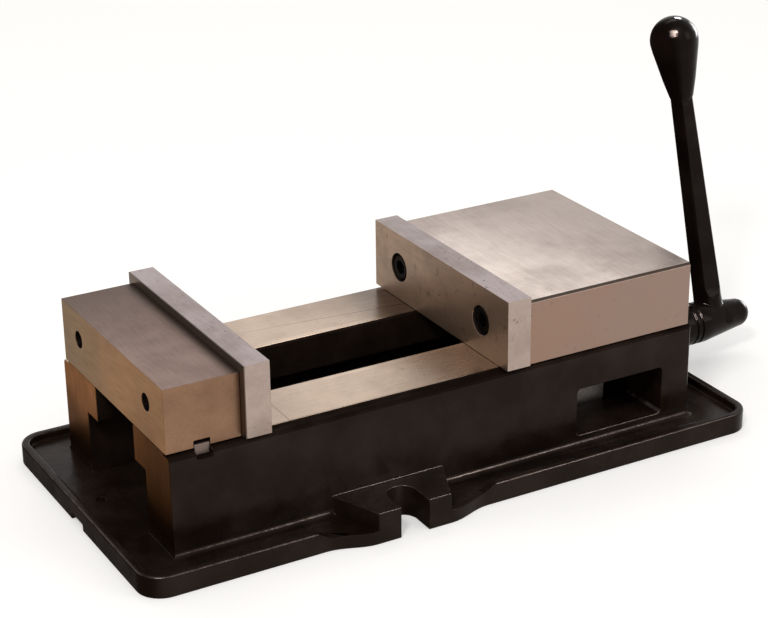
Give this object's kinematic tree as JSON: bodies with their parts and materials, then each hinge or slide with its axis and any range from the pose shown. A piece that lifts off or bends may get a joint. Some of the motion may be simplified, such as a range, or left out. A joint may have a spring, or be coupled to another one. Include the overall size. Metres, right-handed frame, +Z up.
{
  "type": "machine vise",
  "caption": "Bench machine vise: ground jaws on a black tray-base bed, an angle-lock nut pulls the moving jaw down, driven by a lead screw and a black crank handle.",
  "frame": {"origin": "on the table under the vise, midway between the two T-bolt slots of the ears", "axes": "+X along the ways towards the crank, +Y away from the pictured side, +Z up"},
  "size_m": [0.4689, 0.21, 0.2161],
  "materials": {
    "black_enamel": "semi-gloss black enamel on cast iron, ground way tops bare",
    "handle_black": "gloss black on cast iron",
    "ground_jaw": "surface-ground, warm grey",
    "plate_steel": "hardened and ground, faint stains",
    "machined_steel": "turned bright",
    "cast_nut": "machined cast iron",
    "black_screw": "black oxide",
    "bearing_steel": "polished bearing steel",
    "bronze": "plain bronze"
  },
  "bodies": {
    "base": {"vise_body": "black_enamel", "bed_walls": "black_enamel", "tray_floor": "black_enamel", "tray_rim": "black_enamel", "ears": "black_enamel", "fixed_jaw": "ground_jaw", "fixed_jaw_plate": "plate_steel", "fixed_jaw_plate_screws": "black_screw", "fixed_jaw_bolts": "black_screw", "fixed_jaw_key": "machined_steel", "screw_bush": "bronze", "thrust_washer_outer": "bearing_steel", "retaining_plate": "black_enamel", "retaining_plate_screws": "black_screw"},
    "screw": {"lead_screw": "machined_steel", "thrust_bearing": "bronze", "thrust_washer_inner": "bearing_steel", "lock_collar": "machined_steel", "collar_set_screw": "black_screw"},
    "carriage": {"moving_jaw": "ground_jaw", "moving_jaw_plate": "plate_steel", "moving_jaw_plate_screws": "black_screw", "half_ball": "machined_steel", "jaw_nut": "cast_nut", "jaw_adjust_screw": "black_screw"},
    "crank": {"crank_handle": "handle_black", "hub_plunger": "handle_black"}
  },
  "joints": [
    {"name": "screw_turn", "type": "hinge", "parent": "base", "child": "screw", "pos_m": [0, 0, 0.0265], "axis": [-1, 0, 0], "range_deg": [0, 10530]},
    {"name": "jaw_slide", "type": "slide", "parent": "base", "child": "carriage", "axis": [-1, 0, 0], "range_m": [0, 0.1487]},
    {"name": "crank_pull", "type": "slide", "parent": "screw", "child": "crank", "axis": [1, 0, 0], "range_m": [0, 0.038]}
  ],
  "couplings": [
    {"joint": "jaw_slide", "follows": "screw_turn", "m_per_rad": 0.00080851}
  ]
}
